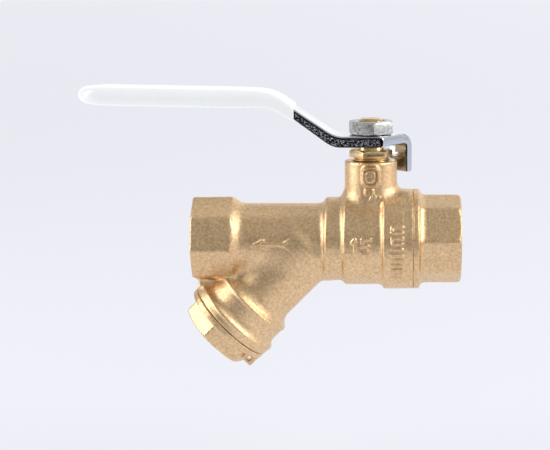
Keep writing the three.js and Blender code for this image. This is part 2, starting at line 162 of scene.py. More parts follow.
def box_field(u, v, w, halves, edge):
    reach = [np.abs(c) - h + edge for c, h in zip((u, v, w), halves)]
    outside = np.sqrt(sum(np.maximum(r, 0) ** 2 for r in reach))
    return outside + np.minimum(np.maximum(np.maximum(reach[0], reach[1]), reach[2]), 0) - edge


def plate(u, v, w, half_u, half_v, half_w, corner):
    """A flat pad with round corners, w being across its thickness."""
    past_u = np.maximum(np.abs(u) - half_u + corner, 0)
    past_v = np.maximum(np.abs(v) - half_v + corner, 0)
    return common(np.hypot(past_u, past_v) - corner, np.abs(w) - half_w, 0.35)


def stroke(u, v, start, end):
    """Distance from a straight stroke between two points of a plane."""
    du, dv = end[0] - start[0], end[1] - start[1]
    t = np.clip(((u - start[0]) * du + (v - start[1]) * dv) / (du * du + dv * dv), 0, 1)
    return np.hypot(u - start[0] - t * du, v - start[1] - t * dv)


def raised(field, strokes, u, v, skin, half_width, height=0.55):
    """Joins strokes that stand `height` proud of the surface where skin is 0."""
    lines = None
    for start, end in strokes:
        one = stroke(u, v, start, end)
        lines = one if lines is None else np.minimum(lines, one)
    mark = common(lines - half_width, np.abs(skin) - height, 0.35)
    return joined(field, mark, 0.3)


def flow_arrow():
    """An arrow along the tube, towards the outlet."""
    tail, point = -27.0, -36.6
    strokes = [((tail, 0), (point, 0))]
    for side in (-1.3, 1.3):
        strokes.append(((point, 0), (point + 2.7, side)))
        strokes.append(((tail - 0.6, 0), (tail + 1.2, side)))
    return strokes


def size_mark():
    """The nominal size, 15, on the second ring."""
    digits = {
        "1": [(0.7, 0), (0.7, 3), (0.1, 2.3)],
        "5": [(1.5, 3), (0.1, 3), (0, 1.75), (1.0, 1.85), (1.5, 1.3), (1.4, 0.4), (0.9, 0), (0, 0.2)],
    }
    strokes = []
    for k, digit in enumerate("15"):
        corners = [(-6.1 + 3.4 * k + 1.7 * u, 1.6 * v - 2.6) for u, v in digits[digit]]
        strokes += list(zip(corners, corners[1:]))
    return strokes


def plain_bars():
    """A column of bars round the third ring, some with a short foot."""
    left, right, top, gap = THIRD_RING[1] + 2.2, THIRD_RING[1] + 5.4, 6.3, 1.75
    strokes = [((left, top - gap * k), (right, top - gap * k)) for k in range(11)]
    strokes += [((left, top - gap * k), (left, top - gap * k - 1)) for k in (0, 2, 5, 8)]
    return strokes


def neck_ticks():
    """Two rows of short ticks at the foot of the neck."""
    upright = [((-1.5 + 1.1 * k, 15.4), (-1.5 + 1.1 * k, 17.0)) for k in range(3)]
    slanting = [((-0.2 + 1.2 * k, 13.5), (0.3 + 1.2 * k, 14.7)) for k in range(3)]
    return upright + slanting


def front_marks(grid, field):
    """Every raised mark. They all stand on the side towards -Y."""
    _, radius = grid.pipe()
    _, around = grid.stem()
    front = np.where(grid.y < 0, 0.0, 9.0)
    second_ring = 14.6
    for strokes, ring, half_width in (
        (flow_arrow(), TUBE, 0.42),
        (size_mark(), second_ring, 0.42),
        (plain_bars(), THIRD_RING[0], 0.36),
    ):
        height = np.arctan2(grid.z, -grid.y) * ring
        field = raised(field, strokes, grid.x, height, radius - ring + front, half_width)
    sideways = np.arctan2(grid.x, -grid.y) * NECK
    return raised(field, neck_ticks(), sideways, grid.z, around - NECK - 0.15 + front, 0.3, 0.4)


def with_branch(grid, field):
    """Adds the inclined branch with its two collars, and the web between it and the outlet octagon."""
    down, across = grid.branch()
    field = joined(field, disc(down, across, 11.35, 2, 34), 3.6)
    web = box_field(grid.x + 52.9, grid.y, grid.z + 13.6, (2.5, 5, 2.2), 0.8)
    field = joined(field, web, 1.2)
    for start, end in (((24.7, 11.1), (27.6, 13.7)), ((33.4, 13.7), (35.3, 15.1))):
        field = joined(field, slope(down, across, start, end), 1.4)
    field = joined(field, disc(down, across, 13.8, 27.4, 35, 0.35), 0.6)
    return joined(field, disc(down, across, 15.2, 35.1, 38.15, 0.2), 0.6)


def with_stops(grid, field):
    """Adds the front stop, with an empty rounded pad in a groove, and the plain stop behind."""
    height = grid.z - STOP_MIDDLE
    front_stop = plate(grid.x, height, grid.y + 9.6, 2.6, 3.05, 2.6, 1.4)
    groove = plate(grid.x, height, grid.y + 12.2, 2.1, 2.55, 0.65, 1.3)
    pad = plate(grid.x, height, grid.y + 12.0, 1.6, 2.0, 0.9, 1.2)
    outwards = grid.x * math.cos(REAR_STOP_TURN) + grid.y * math.sin(REAR_STOP_TURN)
    sideways = grid.x * -math.sin(REAR_STOP_TURN) + grid.y * math.cos(REAR_STOP_TURN)
    rear_stop = box_field(outwards - 9.5, sideways, grid.z - 21.8, (3.0, 1.0, 2.8), 0.4)
    field = joined(joined(field, front_stop, 0.8), rear_stop, 1.0)
    return common(field, -np.maximum(groove, -pad), 0.2)


def body_field(grid):
    along, radius = grid.pipe()
    up, around = grid.stem()
    octagon = polygon(grid.y, grid.z, 8, OUTLET_APOTHEM, math.radians(-82), 0.5)
    ends = np.abs(along - (OUTLET_FACE - 44.0) / 2) - (-44.0 - OUTLET_FACE) / 2
    field = common(common(octagon, ends, 0.7), radius - OCTAGON_TURNED, 0.5)
    shoulder = disc(along, radius, 12.6, -50, -43.2, 0.9)
    field = joined(joined(field, shoulder, 0.8), disc(along, radius, TUBE, -50, 0), 3.4)
    field = with_branch(grid, field)
    field = joined(field, disc(along, radius, 13.3, -14.4, 0, 0.8), 2.6)
    field = joined(field, disc(along, radius, 14.6, -8.5, 10, 0.7), 1.8)
    size, low, high = THIRD_RING
    field = joined(field, disc(along, radius, size, low - 0.4, high, 0.3), 2.2)
    field = joined(field, disc(up, around, NECK, 0, NECK_TOP, 0.35), 2.8)
    return front_marks(grid, with_stops(grid, field))


def body_hollows(grid):
    """The waterways, seat pocket and stem passage. An inclined wall holds the screen's mouth."""
    along, radius = grid.pipe()
    up, around = grid.stem()
    down, across = grid.branch()
    outlet = np.maximum(disc(along, radius, 7.5, OUTLET_FACE - 5, -5), 2 - down)
    inlet = np.maximum(disc(along, radius, 7.5, BRANCH_X - 15, 2), down - 0.5)
    field = np.minimum(outlet, inlet)
    for one in (
        disc(down, across, 6.8, -1.5, 3),
        disc(down, across, 8.1, 2, 6),
        disc(down, across, 9.2, 4.5, 32),
        disc(along, radius, 12, -10.9, 9),
        disc(up, around, 5.6, 0, 14.3),
        disc(up, around, 4.3, 13, 18),
    ):
        field = np.minimum(field, one)
    return field


def adapter_field(grid):
    along, radius = grid.pipe()
    octagon = polygon(grid.y, grid.z, 8, INLET_APOTHEM, math.radians(-96), 0.3)
    ends = np.abs(along - (INLET_FACE + 13.4) / 2) - (INLET_FACE - 13.4) / 2
    chamfer = (radius - ADAPTER_TURNED + along - INLET_FACE + 0.75) * DIAGONAL
    field = common(common(common(octagon, radius - ADAPTER_TURNED, 0.3), ends, 0.3), chamfer, 0.4)
    field = joined(field, disc(along, radius, 15.9, 13.35, 15.2, 0.3), 2.6)
    return np.minimum(field, disc(along, radius, 12.95, 6, 14.5, 0.2))


def cap_field(grid):
    down, across = grid.branch()
    sideways = (grid.x - BRANCH_X - grid.z) * DIAGONAL
    low, high = 38.33, 46.0
    hexagon = polygon(sideways, grid.y, 6, 11.35, math.radians(-16), 0.5)
    ends = np.abs(down - (low + high) / 2) - (high - low) / 2
    chamfer = (across - 13.1) * 0.5 + (down - high + 0.9) * 0.87
    field = common(common(hexagon, ends, 0.5), chamfer, 0.4)
    field = joined(field, disc(down, across, 15.1, low, 40.3, 0.3), 1.0)
    ear = box_field(sideways - 12.3, grid.y + 2.1, down - 42.0, (2.3, 1.5, 2.2), 0.4)
    hole = np.hypot(sideways - 12.6, down - 42.5) - 0.7
    return joined(field, np.maximum(ear, -hole), 0.5)


def lever_path():
    """The lever's centre line in the XZ plane, from its head to its tip, as straight runs."""
    return [(12.5, 32.0), (-11.4, 32.0), (-31.6, 45.5), (LEVER_TIP, 47.0)]


def ribbon(grid):
    """Height above the lever's centre line, smooth through its two bends."""
    (_, level), lower, upper, tip = lever_path()
    heights = []
    for start, end in ((lower, upper), (upper, tip)):
        length = math.hypot(end[0] - start[0], end[1] - start[1])
        dx, dz = (end[0] - start[0]) / length, (end[1] - start[1]) / length
        heights.append((grid.x - start[0]) * dz - (grid.z - start[1]) * dx)
    flat = grid.z - level
    return common(joined(flat, heights[0], 1.6), heights[1], 2.4)


def plan_field(grid, half_width, tip):
    """A straight-sided plan with a round tip, seen from above."""
    centre = tip + half_width
    return np.hypot(np.minimum(grid.x - centre, 0), grid.y) - half_width


TAB_NORMAL = math.radians(46)  # the tab faces away from the stem at this angle
TAB_REACH = 12.7
TAB_HALF_SHEET = 1.275
TAB_SIDES = (-6.05, 2.0)
TAB_BEND = 4.6
TAB_BOTTOM = 21
HEAD_CORNER = (3.7, -7.25)  # where the head's front edge turns back
HEAD_EDGE = math.radians(51.3)
LEVER_WIDTH = 7.25  # half of it, as the others here
LEVER_HALF = 1.6
LEVER_RIM = 2.0


def rim_depth(grid):
    """How far the turned-down edges reach below the centre line: less on the slope than at the head."""
    return LEVER_RIM - 0.75 * np.clip((-11 - grid.x) / 13, 0, 1)


def stop_tab(grid, outwards, sideways):
    """The head's sheet carried on and bent down. Its inner corner under the head is filled."""
    top = lever_path()[0][1] + LEVER_HALF
    u, v = outwards - TAB_REACH + TAB_BEND, grid.z - top + TAB_BEND
    reach = np.where((u > 0) & (v > 0), np.hypot(u, v), np.where(v <= 0, u, v))
    sheet = np.maximum(np.abs(reach - TAB_BEND + TAB_HALF_SHEET) - TAB_HALF_SHEET, -u - 3)
    sides = np.maximum(TAB_SIDES[0] - sideways, sideways - TAB_SIDES[1])
    tab = common(common(sheet, sides, 0.3), TAB_BOTTOM - grid.z, 0.5)
    filling = common(np.abs(grid.z - 31.0) - 0.6, np.abs(outwards - 7) - 3.4, 0.3)
    return common(filling, sides, 0.3), tab


def lever_field(grid):
    height = ribbon(grid)
    plan = plan_field(grid, LEVER_WIDTH, LEVER_TIP)
    from_corner = (grid.x - HEAD_CORNER[0], grid.y - HEAD_CORNER[1])
    slant = from_corner[0] * math.sin(HEAD_EDGE) - from_corner[1] * math.cos(HEAD_EDGE)
    outwards = grid.x * math.cos(TAB_NORMAL) + grid.y * math.sin(TAB_NORMAL)
    sideways = grid.x * -math.sin(TAB_NORMAL) + grid.y * math.cos(TAB_NORMAL)
    head = common(common(plan, slant, 0.8), outwards - TAB_REACH + TAB_BEND, 0.2)
    depth = rim_depth(grid) - 0.4 * np.clip((outwards + 2) / 3.5, 0, 1)
    shell = common(common(height - LEVER_HALF, head, 1.4), -height - depth, 0.6)
    channel = common(height + 0.4, np.maximum(plan, slant) + 1.5, 1.0)
    channel = np.maximum(channel, outwards - 3.5)
    field = common(shell, -channel, 0.5)
    filling, tab = stop_tab(grid, outwards, sideways)
    return joined(joined(field, filling, 0.4), tab, 0.4)


SLEEVE_WIDTH = 8.05
SLEEVE_MOUTH = -24.0
SLEEVE_CLEARANCE = 0.1


def sleeve_field(grid):
    """The dipped sleeve round the lever. It thins towards its mouth and rounds off at its tip."""
    height = ribbon(grid) + 0.05
    plan = plan_field(grid, SLEEVE_WIDTH, SLEEVE_TIP)
    mouth = np.clip((grid.x - SLEEVE_MOUTH + 18) / 16, 0, 1)
    tip = np.clip((SLEEVE_TIP + 9 - grid.x) / 9, 0, 1)
    above = 2.8 - 0.6 * mouth - 0.5 * tip
    below = 3.1 - 1.2 * mouth - 0.5 * tip
    shell = common(np.maximum(height - above, -height - below), plan, 3.1 - 1.9 * mouth)
    shell = common(shell, grid.x - SLEEVE_MOUTH, 0.5)
    lever_top = height - LEVER_HALF - SLEEVE_CLEARANCE
    lever_foot = -height - rim_depth(grid) - SLEEVE_CLEARANCE
    lever_plan = plan_field(grid, LEVER_WIDTH + 0.05, LEVER_TIP - 0.05)
    steel = common(np.maximum(lever_top, lever_foot), lever_plan, 0.9)
    return common(shell, -steel, 0.15)


# ---------- Meshes ----------


def placed(name, points, faces):
    """A mesh object from points in millimetres about the stem axis."""
    mesh = bpy.data.meshes.new(name)
    shifted = (np.asarray(points, float) + (STEM_X, 0, 0)) * MM
    mesh.from_pydata(shifted.tolist(), [], [list(f) for f in faces])
    mesh.validate()
    piece = bpy.data.objects.new(name, mesh)
    bpy.context.scene.collection.objects.link(piece)
    work = bmesh.new()
    work.from_mesh(mesh)
    if work.calc_volume(signed=True) < 0:
        bmesh.ops.reverse_faces(work, faces=work.faces)
    work.to_mesh(mesh)
    work.free()
    return piece


def skin(name, grid, field, passes=0):
    """The surface where the field is 0, as quads, evened out by `passes` rounds of smoothing."""
    depth = 3 * grid.voxel
    levels = openvdb.FloatGrid(depth)
    band = np.clip(np.broadcast_to(field, grid.shape), -depth, depth)
    levels.copyFromArray(np.ascontiguousarray(band, np.float32))
    points, quads = levels.convertToQuads(0.0)
    piece = placed(name, points * grid.voxel + grid.low, quads)
    if passes:
        even = piece.modifiers.new("even", "SMOOTH")
        even.factor, even.iterations = 0.5, passes
        applied(piece)
    return piece


def revolve(name, profile, axis, sides=96, wave=None):
    """A turned solid. Its [radius, place] profile starts and ends on the axis, or closes as a ring."""
    closed = profile[0][0] > 0
    rows = np.array(profile, float)
    angles = np.arange(sides) * 2 * HALF_TURN / sides
    points, faces, starts = [], [], []
    for radius, place in rows:
        starts.append(len(points))
        if radius <= 0:
            points.append((0, 0, place))
            continue
        for angle in angles:
            r = radius if wave is None else wave(radius, place, angle)
            points.append((r * math.cos(angle), r * math.sin(angle), place))
    pairs = list(zip(range(len(rows)), range(1, len(rows))))
    if closed:
        pairs.append((len(rows) - 1, 0))
    for low, high in pairs:
        a, b = starts[low], starts[high]
        for k in range(sides):
            n = (k + 1) % sides
            if rows[low][0] <= 0:
                faces.append((a, b + n, b + k))
            elif rows[high][0] <= 0:
                faces.append((a + k, a + n, b))
            else:
                faces.append((a + k, a + n, b + n, b + k))
    turned = [axis @ Vector(p) for p in points]
    return placed(name, [tuple(p) for p in turned], faces)


def threaded(name, crest, root, pitch, low, high, axis, relief=0.0):
    """A rod with a helical thread between radii `crest` and `root`."""
    steps = int((high - low) / pitch * 9)
    places = np.linspace(low, high, steps)
    middle, depth = (crest + root) / 2, abs(root - crest) / 2

    def wave(radius, place, angle):
        phase = (place / pitch - angle / (2 * HALF_TURN)) % 1
        saw = np.clip(2.6 * (2 * abs(phase - 0.5) - 0.5), -1, 1)
        fade = min(1, (place - low) / pitch + relief, (high - place) / pitch + relief)
        return middle + depth * saw * max(fade, 0)

    return revolve(name, [(0, low)] + [(middle, z) for z in places] + [(0, high)], axis, 72, wave)


def rod(name, radius, low, high, axis, chamfer=0.0):
    c = chamfer
    profile = [
        (0, low), (radius - c, low), (radius, low + c),
        (radius, high - c), (radius - c, high), (0, high),
    ]
    if c <= 0:
        profile = [(0, low), (radius, low), (radius, high), (0, high)]
    return revolve(name, profile, axis)


def ring(name, inner, outer, low, high, axis, soft=0.2):
    """A flat ring with softened rims."""
    s = soft
    profile = [
        (inner, low + s), (inner + s, low), (outer - s, low), (outer, low + s),
        (outer, high - s), (outer - s, high), (inner + s, high), (inner, high - s),
    ]
    return revolve(name, profile, axis)


def prism(name, sides, radius, low, high, turn, axis):
    points = []
    for place in (low, high):
        for k in range(sides):
            angle = turn - HALF_TURN / 2 + 2 * HALF_TURN * k / sides
            corner = Vector((radius * math.cos(angle), radius * math.sin(angle), place))
            points.append(tuple(axis @ corner))
    faces = [tuple(range(sides)), tuple(range(2 * sides - 1, sides - 1, -1))]
    faces += [(k, k + sides, (k + 1) % sides + sides, (k + 1) % sides) for k in range(sides)]
    return placed(name, points, faces)


def block(name, low, high):
    points = [(x, y, z) for x in (low[0], high[0]) for y in (low[1], high[1]) for z in (low[2], high[2])]
    faces = [(0, 1, 3, 2), (4, 6, 7, 5), (0, 4, 5, 1), (2, 3, 7, 6), (0, 2, 6, 4), (1, 5, 7, 3)]
    return placed(name, points, faces)


def applied(piece):
    """Applies the piece's modifiers to its mesh."""
    graph = bpy.context.evaluated_depsgraph_get()
    mesh = bpy.data.meshes.new_from_object(piece.evaluated_get(graph))
    old = piece.data
    piece.modifiers.clear()
    piece.data = mesh
    bpy.data.meshes.remove(old)
    return piece


def carved(piece, tools, operation="DIFFERENCE"):
    """Cuts, joins or intersects the piece with each tool, and removes the tools."""
    for tool in tools:
        change = piece.modifiers.new("carve", "BOOLEAN")
        change.operation, change.solver, change.object = operation, "MANIFOLD", tool
        applied(piece)
        bpy.data.objects.remove(tool)
    return piece


def softened(piece, width, segments=2, angle=30):
    bevel = piece.modifiers.new("edges", "BEVEL")
    bevel.width, bevel.segments, bevel.limit_method = width * MM, segments, "ANGLE"
    bevel.angle_limit, bevel.harden_normals = math.radians(angle), False
    return applied(piece)


def shaded(piece, angle=35):
    """Smooth shading, with edges sharper than `angle` kept crisp."""
    mesh = piece.data
    mesh.shade_smooth()
    mesh.set_sharp_from_angle(angle=math.radians(angle))
    return piece


def finish_piece(piece, body, node, material, angle=35):
    shaded(piece, angle)
    piece.data.materials.clear()
    piece.data.materials.append(material)
    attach(piece, body)
    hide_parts(node)
    return piece


# ---------- Materials ----------


RANGE_INPUTS = ("From Min", "From Max", "To Min", "To Max")


class Nodes:
    """A new material with a Principled shader, and short ways to add and link nodes."""

    def __init__(self, name):
        self.material = bpy.data.materials.new(name)
        self.material.use_nodes = True
        self.tree = self.material.node_tree
        self.shader = self.tree.nodes["Principled BSDF"]
        position = self.add("ShaderNodeTexCoord")
        self.place, self.facing = position.outputs["Object"], position.outputs["Normal"]

    def add(self, kind, **values):
        node = self.tree.nodes.new(kind)
        for name, value in values.items():
            setattr(node, name, value)
        return node

    def link(self, out, socket):
        self.tree.links.new(out, socket)

    def set(self, **values):
        for name, value in values.items():
            self.shader.inputs[name.replace("_", " ")].default_value = value

    def noise(self, size, detail=2.0, roughness=0.5, stretch=(1, 1, 1)):
        """Noise whose features are about `size` millimetres across."""
        scale = self.add("ShaderNodeMapping")
        scale.inputs["Scale"].default_value = stretch
        self.link(self.place, scale.inputs["Vector"])
        node = self.add("ShaderNodeTexNoise")
        node.inputs["Scale"].default_value = 1 / (size * MM)
        node.inputs["Detail"].default_value = detail
        node.inputs["Roughness"].default_value = roughness
        self.link(scale.outputs["Vector"], node.inputs["Vector"])
        return node.outputs["Fac"]

    def spread(self, value, low, high, to_low, to_high):
        node = self.add("ShaderNodeMapRange")
        for name, number in zip(RANGE_INPUTS, (low, high, to_low, to_high)):
            node.inputs[name].default_value = number
        self.link(value, node.inputs["Value"])
        return node.outputs["Result"]

    def mix(self, factor, first, second):
        node = self.add("ShaderNodeMix", data_type="RGBA")
        self.link(factor, node.inputs[0])
        for socket, colour in ((node.inputs[6], first), (node.inputs[7], second)):
            if isinstance(colour, tuple):
                socket.default_value = (*colour, 1)
            else:
                self.link(colour, socket)
        return node.outputs[2]

    def times(self, first, second):
        node = self.add("ShaderNodeMath", operation="MULTIPLY")
        self.link(first, node.inputs[0])
        self.link(second, node.inputs[1])
        return node.outputs[0]

    def painted_shade_sides(self, colour):
        """Painted shade: black on the long sides, which face along the object's Y, with worn grey specks;
        greyer where faces turn aslant of Y.
        """
        painted_shade_black, grey, worn_grey = (0.012, 0.014, 0.02), (0.56, 0.6, 0.65), (0.62, 0.63, 0.65)
        split = self.add("ShaderNodeSeparateXYZ")
        self.link(self.facing, split.inputs[0])
        size = self.add("ShaderNodeMath", operation="ABSOLUTE")
        self.link(split.outputs["Y"], size.inputs[0])
        across = size.outputs[0]
        specks = self.spread(self.noise(0.45, 3, 0.8, (0.7, 1, 1)), 0.49, 0.6, 0, 1)
        worn = self.times(specks, self.spread(across, 0.97, 0.998, 0, 1))
        self.link(self.spread(worn, 0, 1, 1, 0), self.shader.inputs["Metallic"])
        # Painted shade: the sides are painted black where they face along Y.
        sides = self.mix(worn, painted_shade_black, worn_grey)
        greyer_aslant = self.mix(self.spread(across, 0.42, 0.56, 0, 1), colour, grey)
        return self.mix(self.spread(across, 0.76, 0.85, 0, 1), greyer_aslant, sides)

    def bump(self, height, strength, depth, under=None):
        """A bump `depth` millimetres deep."""
        node = self.add("ShaderNodeBump")
        node.inputs["Strength"].default_value = strength
        node.inputs["Distance"].default_value = depth * MM
        self.link(height, node.inputs["Height"])
        if under is not None:
            self.link(under, node.inputs["Normal"])
        return node.outputs["Normal"]

    def finish(self, colour=None, roughness=None, normal=None):
        for name, out in (("Base Color", colour), ("Roughness", roughness), ("Normal", normal)):
            if out is not None:
                self.link(out, self.shader.inputs[name])
        return self.material


def forged_brass():
    """Shot-blasted forging: fine dimples that sparkle, and slow patches of warmer metal."""
    n = Nodes("forged_brass")
    n.set(Metallic=1.0)
    patches = n.spread(n.noise(9, 3), 0.35, 0.65, 0, 1)
    grain = n.spread(n.noise(0.85, 3, 0.8), 0.4, 0.62, 0, 0.62)
    metal = n.mix(patches, (0.88, 0.62, 0.355), (0.92, 0.655, 0.385))
    edges = n.add("ShaderNodeNewGeometry").outputs["Pointiness"]
    worn = n.mix(n.spread(edges, 0.53, 0.6, 0, 0.5), metal, (0.97, 0.78, 0.52))
    colour = n.mix(grain, worn, (0.52, 0.345, 0.17))
    roughness = n.spread(n.noise(0.7, 2), 0.35, 0.65, 0.3, 0.42)
    normal = n.bump(n.noise(0.9, 3, 0.8), 1.0, 0.16)
    return n.finish(colour, roughness, normal)


def machined_brass():
    """Bright turned metal with fine tool marks and faint tarnish."""
    n = Nodes("machined_brass")
    n.set(Metallic=1.0)
    tarnish = n.spread(n.noise(3, 4), 0.4, 0.7, 0, 0.6)
    colour = n.mix(tarnish, (0.80, 0.59, 0.32), (0.62, 0.42, 0.2))
    roughness = n.spread(n.noise(1.2, 3), 0.3, 0.7, 0.2, 0.36)
    tool_marks = n.noise(0.35, 2, 0.5, (0.3, 0.3, 1.6))
    return n.finish(colour, roughness, n.bump(tool_marks, 0.35, 0.03))


def plated_metal(name, tones, shine, ripples, patch=5, shade_on_sides=False):
    """Bright metal with slight unevenness, dull patches and fine scratches.

    tones are its light and dark colours, shine its least and greatest roughness, ripples their size and
    depth in millimetres, and patch the size of the dull patches.
    """
    n = Nodes(name)
    n.set(Metallic=1.0)
    colour = n.mix(n.spread(n.noise(patch, 3), 0.4, 0.7, 0, 1), *tones)
    # Optionally adds painted shade: black on the faces that turn along the object's Y.
    if shade_on_sides:
        colour = n.painted_shade_sides(colour)
    scratches = n.spread(n.noise(0.5, 2, 0.7, (0.12, 1.4, 1.0)), 0.45, 0.75, 0, 1)
    roughness = n.spread(scratches, 0, 1, *shine)
    waves = n.bump(n.noise(ripples[0], 2), 0.3, ripples[1])
    return n.finish(colour, roughness, n.bump(scratches, 0.12, 0.01, waves))


def white_vinyl():
    """Dipped vinyl: a soft gloss with faint orange peel and a trace of handling, plus painted light, a
    glow that stands in for even lighting.
    """
    n = Nodes("white_vinyl")
    n.set(Coat_Weight=0.15, Coat_Roughness=0.12)
    # Painted light: the emission makes the sleeve glow as if evenly lit and as bright as the backdrop.
    # The base colour is kept dark to make up for it.
    n.set(Emission_Color=(0.95, 0.985, 1, 1), Emission_Strength=0.62)
    handled = n.spread(n.noise(14, 3), 0.4, 0.7, 0, 1)
    colour = n.mix(handled, (0.33, 0.337, 0.342), (0.30, 0.307, 0.312))
    roughness = n.spread(n.noise(2.0, 3), 0.3, 0.7, 0.24, 0.36)
    peel = n.bump(n.noise(2.4, 1), 0.08, 0.02)
    return n.finish(colour, roughness, peel)


def dull_solid(name, light, dark, low, high, grain):
    """Seals and gaskets: matt, with a fine grain."""
    n = Nodes(name)
    colour = n.mix(n.spread(n.noise(grain * 3, 3), 0.35, 0.65, 0, 1), light, dark)
    roughness = n.spread(n.noise(grain, 2), 0.3, 0.7, low, high)
    return n.finish(colour, roughness, n.bump(n.noise(grain, 3), 0.3, 0.03))


FORGED = forged_brass()
MACHINED = machined_brass()
# The lever's steel gets painted shade on its sides.
PLATED = plated_metal(
    "plated_steel", ((0.80, 0.82, 0.86), (0.70, 0.72, 0.76)), (0.06, 0.16), (6, 0.05), shade_on_sides=True
)
ZINC = plated_metal("zinc_steel", ((0.7, 0.69, 0.67), (0.28, 0.29, 0.28)), (0.34, 0.5), (2.5, 0.06), 0.6)
CHROME = plated_metal("chrome", ((0.82, 0.83, 0.85), (0.76, 0.77, 0.79)), (0.04, 0.1), (9, 0.01))
STAINLESS = plated_metal("stainless_mesh", ((0.6, 0.6, 0.61), (0.48, 0.48, 0.49)), (0.25, 0.4), (3, 0.02))
VINYL = white_vinyl()
PTFE = dull_solid("ptfe", (0.88, 0.88, 0.86), (0.82, 0.82, 0.79), 0.4, 0.55, 0.8)
RUBBER = dull_solid("rubber_seal", (0.02, 0.02, 0.021), (0.035, 0.035, 0.036), 0.5, 0.7, 0.6)
FIBRE = dull_solid("fibre_gasket", (0.1, 0.115, 0.105), (0.16, 0.17, 0.155), 0.75, 0.9, 0.4)


# ---------- Pieces ----------


def screwed_socket(face, bottom):
    """What a threaded pipe socket removes: its thread, the countersink and the clear mouth."""
    crest, root, pitch = PIPE_THREAD
    inwards = math.copysign(1, bottom - face)
    low, high = min(face, bottom), max(face, bottom)
    sink = root + 0.2 - crest
    rim = face + inwards * sink
    cone = [(0, face - inwards), (root + 0.2, face - inwards), (root + 0.2, face), (crest, rim), (0, rim)]
    return [
        threaded("cut_thread", crest, root, pitch, low - 0.1, high, PIPE),
        revolve("cut_mouth", cone, PIPE),
    ]


def valve_body():
    grid = Grid((OUTLET_FACE - 1.5, -17, -42), (14.5, 17, NECK_TOP + 1.5), BODY_VOXEL)
    piece = skin("valve_body_forging", grid, common(body_field(grid), -body_hollows(grid), 0.3))
    tools = screwed_socket(OUTLET_FACE, OUTLET_FACE + 13)
    tools += [
        rod("cut_adapter_bore", 13.3, 5.5, 15, PIPE),
        threaded("cut_cap_thread", 11.5, 12.0, CAP_THREAD_PITCH, 30, 37, BRANCH),
        rod("cut_gasket_seat", 13.3, 36.6, 40, BRANCH),
        threaded("cut_gland_thread", 5.8, 6.1, 1.0, 16, 26, STEM, 1.0),
    ]
    finish_piece(carved(piece, tools), "valve_body", "valve_body", FORGED, 40)


def end_adapter():
    grid = Grid((5, -17, -17), (INLET_FACE + 1, 17, 17), FINE_VOXEL)
    piece = skin("end_adapter_forging", grid, adapter_field(grid))
    tools = screwed_socket(INLET_FACE, 15.5)
    tools += [
        rod("cut_seat_pocket", 11.9, 4, 10.9, PIPE),
        rod("cut_bore", 7.5, 9, 17, PIPE, 0.2),
        revolve("cut_groove", [(11.3, 11.2), (14, 11.2), (14, 12.9), (11.3, 12.9)], PIPE),
    ]
    finish_piece(carved(piece, tools), "valve_body", "end_adapter", FORGED, 40)


def strainer_cap():
    grid = Grid((-63, -16, -44), (-33, 16, -14), FINE_VOXEL)
    piece = skin("strainer_cap_forging", grid, cap_field(grid))
    thread = threaded("cap_thread", 10.7, 11.3, CAP_THREAD_PITCH, 30.6, 39, BRANCH)
    carved(piece, [thread], "UNION")
    carved(piece, [rod("cut_recess", 8.1, 28, 37.5, BRANCH)])
    finish_piece(piece, "cap", "strainer_cap", FORGED, 40)


def hexagon(name, radius, low, high, turn, foot, chamfer=0.9, axis=STEM):
    """A nut's hexagon, with its corners turned off on a slope of about 30 degrees."""
    drop = chamfer * 0.55
    base = chamfer if foot else 0.0
    blank = [
        (0, low), (radius - base, low), (radius + 0.02, low + drop * bool(foot)),
        (radius + 0.02, high - drop), (radius - chamfer, high), (0, high),
    ]
    piece = prism(name, 6, radius, low, high, turn, axis)
    return carved(piece, [revolve("cut_corners", blank, axis)], "INTERSECT")


def gland_nut():
    low = GLAND_TOP - 2.3
    piece = hexagon("gland_hexagon", 6.93, low, GLAND_TOP, math.radians(-20), False, 0.8)
    shank = threaded("gland_shank", 5.3, 5.7, 1.0, 21.1, low + 0.5, STEM)
    carved(carved(piece, [shank], "UNION"), [rod("cut_bore", 4.3, 20, 30, STEM)])
    finish_piece(softened(piece, 0.12), "valve_body", "gland_nut", MACHINED)


def lever_nut():
    piece = hexagon("lever_nut_hexagon", 7.5, NUT_FOOT, NUT_TOP, math.radians(8), True, 0.8)
    low, high = NUT_FOOT - 1, NUT_TOP + 1
    carved(piece, [threaded("cut_nut_thread", 4.05, 4.4, 1.25, low, high, STEM, 1.0)])
    sink = [(0, NUT_TOP - 0.5), (4.0, NUT_TOP - 0.5), (4.9, NUT_TOP + 0.3), (0, NUT_TOP + 0.3)]
    carved(piece, [revolve("cut_countersink", sink, STEM)])
    finish_piece(softened(piece, 0.14), "handle", "lever_nut", ZINC)


def stem():
    profile = [
        (0, 11.5), (4.9, 11.5), (5.2, 11.8), (5.2, 12.9), (4.9, 13.2), (4, 13.2),
        (4, 33.5), (3.6, 33.8), (3.6, 34.2), (0, 34.2),
    ]
    piece = revolve("stem_shaft", profile, STEM)
    carved(piece, [threaded("stem_thread", 3.55, 3.98, 1.25, 33.9, STEM_TOP, STEM)], "UNION")
    tip = [(0, 8), (6, 8), (6, STEM_TOP - 2.6), (3.0, STEM_TOP), (0, STEM_TOP)]
    carved(piece, [block("tang", (-1.8, -4.2, 8.5), (1.8, 4.2, 12))], "UNION")
    carved(piece, [revolve("cut_tip", tip, STEM)], "INTERSECT")
    for middle in (-4.4, 4.4):
        carved(piece, [block("cut_flat", (-6, middle - 1.5, 31.3), (6, middle + 1.5, 45))])
    finish_piece(softened(piece, 0.1), "handle", "stem", MACHINED)


